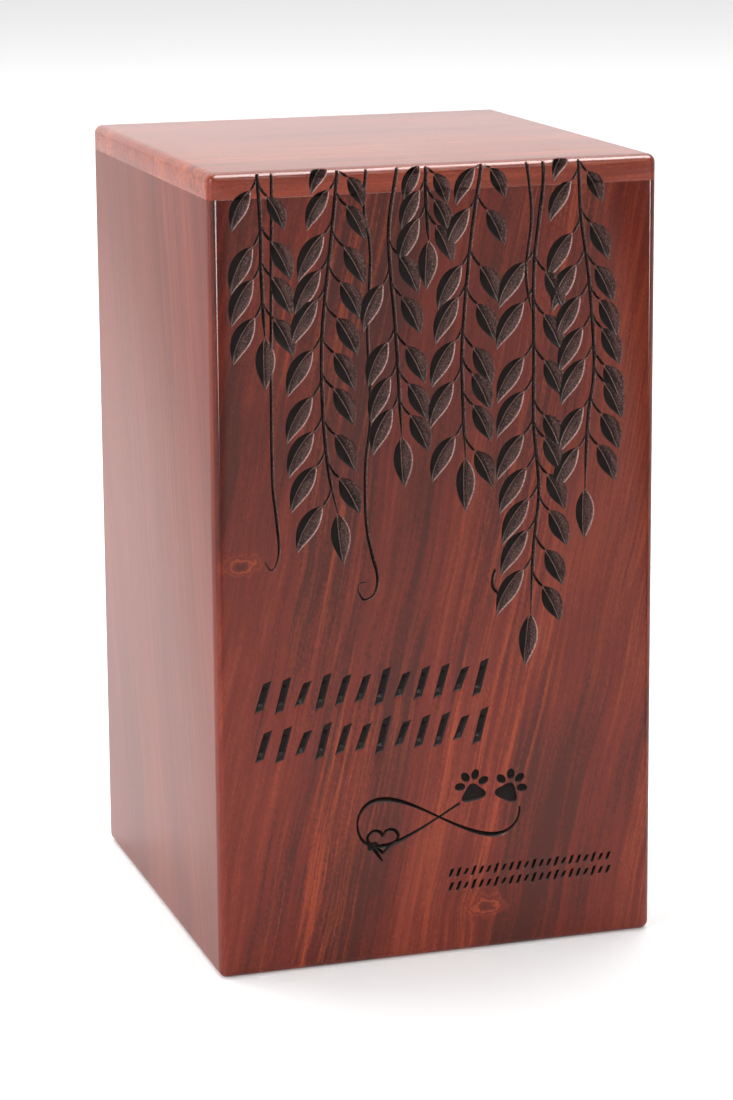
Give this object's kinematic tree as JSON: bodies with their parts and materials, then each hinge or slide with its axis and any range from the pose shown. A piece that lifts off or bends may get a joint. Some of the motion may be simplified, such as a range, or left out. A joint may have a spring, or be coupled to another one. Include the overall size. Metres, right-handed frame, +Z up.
{
  "type": "cremation urn box",
  "caption": "Tall rectangular wooden urn box with a lift-off lid, its front carved with hanging leafy vines, a looped ribbon with a heart, paw prints and plain stroke panels.",
  "frame": {"origin": "middle of the underside, on the surface that the box stands on", "axes": "+Z up along the height, the carved front faces -Y, +X to the right of someone who faces the front"},
  "size_m": [0.16, 0.165, 0.28],
  "materials": {
    "wall_wood": "red-brown stain under satin varnish, carving scorched dark",
    "lid_wood": "lighter orange-red stain under satin varnish",
    "base_wood": "red-brown stain, thin varnish"
  },
  "bodies": {
    "root": {"front_board": "wall_wood", "back_board": "wall_wood", "left_board": "wall_wood", "right_board": "wall_wood", "base_board": "base_wood", "lid": "lid_wood"}
  },
  "joints": []
}
